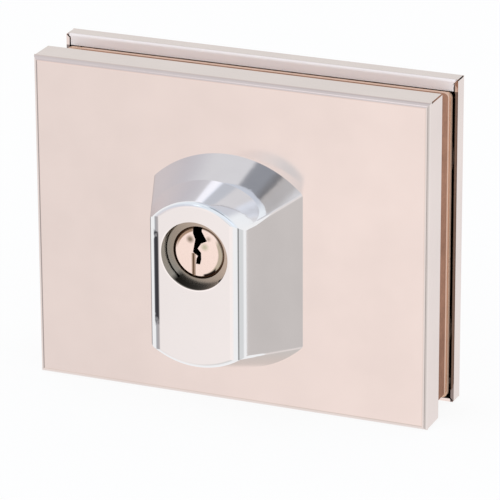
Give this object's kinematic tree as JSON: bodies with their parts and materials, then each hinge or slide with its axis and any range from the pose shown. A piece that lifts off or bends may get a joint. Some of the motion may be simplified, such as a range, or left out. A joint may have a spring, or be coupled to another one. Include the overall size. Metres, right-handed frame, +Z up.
{
  "type": "glass door patch lock",
  "caption": "Lock that clamps in a cut-out at the edge of a glass door: two metal covers, a tapered nose with a profile cylinder, and a sliding bolt",
  "frame": {"origin": "where the axis of the cylinder meets the middle plane of the glass", "axes": "+X to the right seen from the keyed side, +Y from the keyed side through the glass to the back, +Z up"},
  "size_m": [0.102, 0.0455, 0.0825],
  "materials": {
    "cover_steel": "fine satin",
    "plate_aluminium": "cast and machined",
    "rim_plate": "yellow passivated",
    "gasket_fibre": "pressed fibre",
    "nose_chrome": "smooth satin",
    "cylinder_nickel": "nickel plated, satin",
    "plug_nickel": "nickel plated, turned",
    "pin_brass": "turned",
    "spring_steel": "bright drawn",
    "screw_steel": "zinc plated",
    "bolt_steel": "ground",
    "case_steel": "zinc plated",
    "faceplate_steel": "satin",
    "sleeve_nylon": "moulded nylon"
  },
  "bodies": {
    "front": {"front_cover": "cover_steel", "front_clamp_plate": "plate_aluminium", "front_gasket": "gasket_fibre", "cylinder_housing": "nose_chrome", "housing_screws": "screw_steel", "housing_spacers": "screw_steel", "cylinder_body": "cylinder_nickel", "driver_pins": "pin_brass", "pin_springs": "spring_steel", "pin_chamber_cap": "pin_brass", "cylinder_screw": "screw_steel", "bolt_spring": "spring_steel", "lock_case": "case_steel", "case_lid": "case_steel", "case_screws": "screw_steel", "faceplate": "faceplate_steel", "faceplate_screws": "screw_steel", "clamp_inserts": "pin_brass", "clamp_sleeves": "sleeve_nylon", "front_cover_clips": "spring_steel"},
    "plug": {"cylinder_plug": "plug_nickel", "plug_circlip": "spring_steel", "key_pins": "pin_brass", "plug_crank": "bolt_steel", "crank_screw": "screw_steel"},
    "bolt": {"bolt": "bolt_steel"},
    "rear": {"rear_clamp_plate": "rim_plate", "rear_gasket": "gasket_fibre", "rear_cover": "cover_steel", "rear_cover_clips": "spring_steel", "clamp_screws": "screw_steel"}
  },
  "joints": [
    {"name": "plug_turn", "type": "hinge", "parent": "front", "child": "plug", "pos_m": [0, -0.03074, 0], "axis": [0, -1, 0], "range_deg": [0, 90]},
    {"name": "bolt_slide", "type": "slide", "parent": "front", "child": "bolt", "axis": [-1, 0, 0], "range_m": [0, 0.01414]},
    {"name": "glass_clamp", "type": "slide", "parent": "front", "child": "rear", "axis": [0, 1, 0], "range_m": [0, 0.012]}
  ],
  "couplings": [
    {"joint": "plug_turn", "follows": "bolt_slide", "rad_per_m": 111.07}
  ]
}
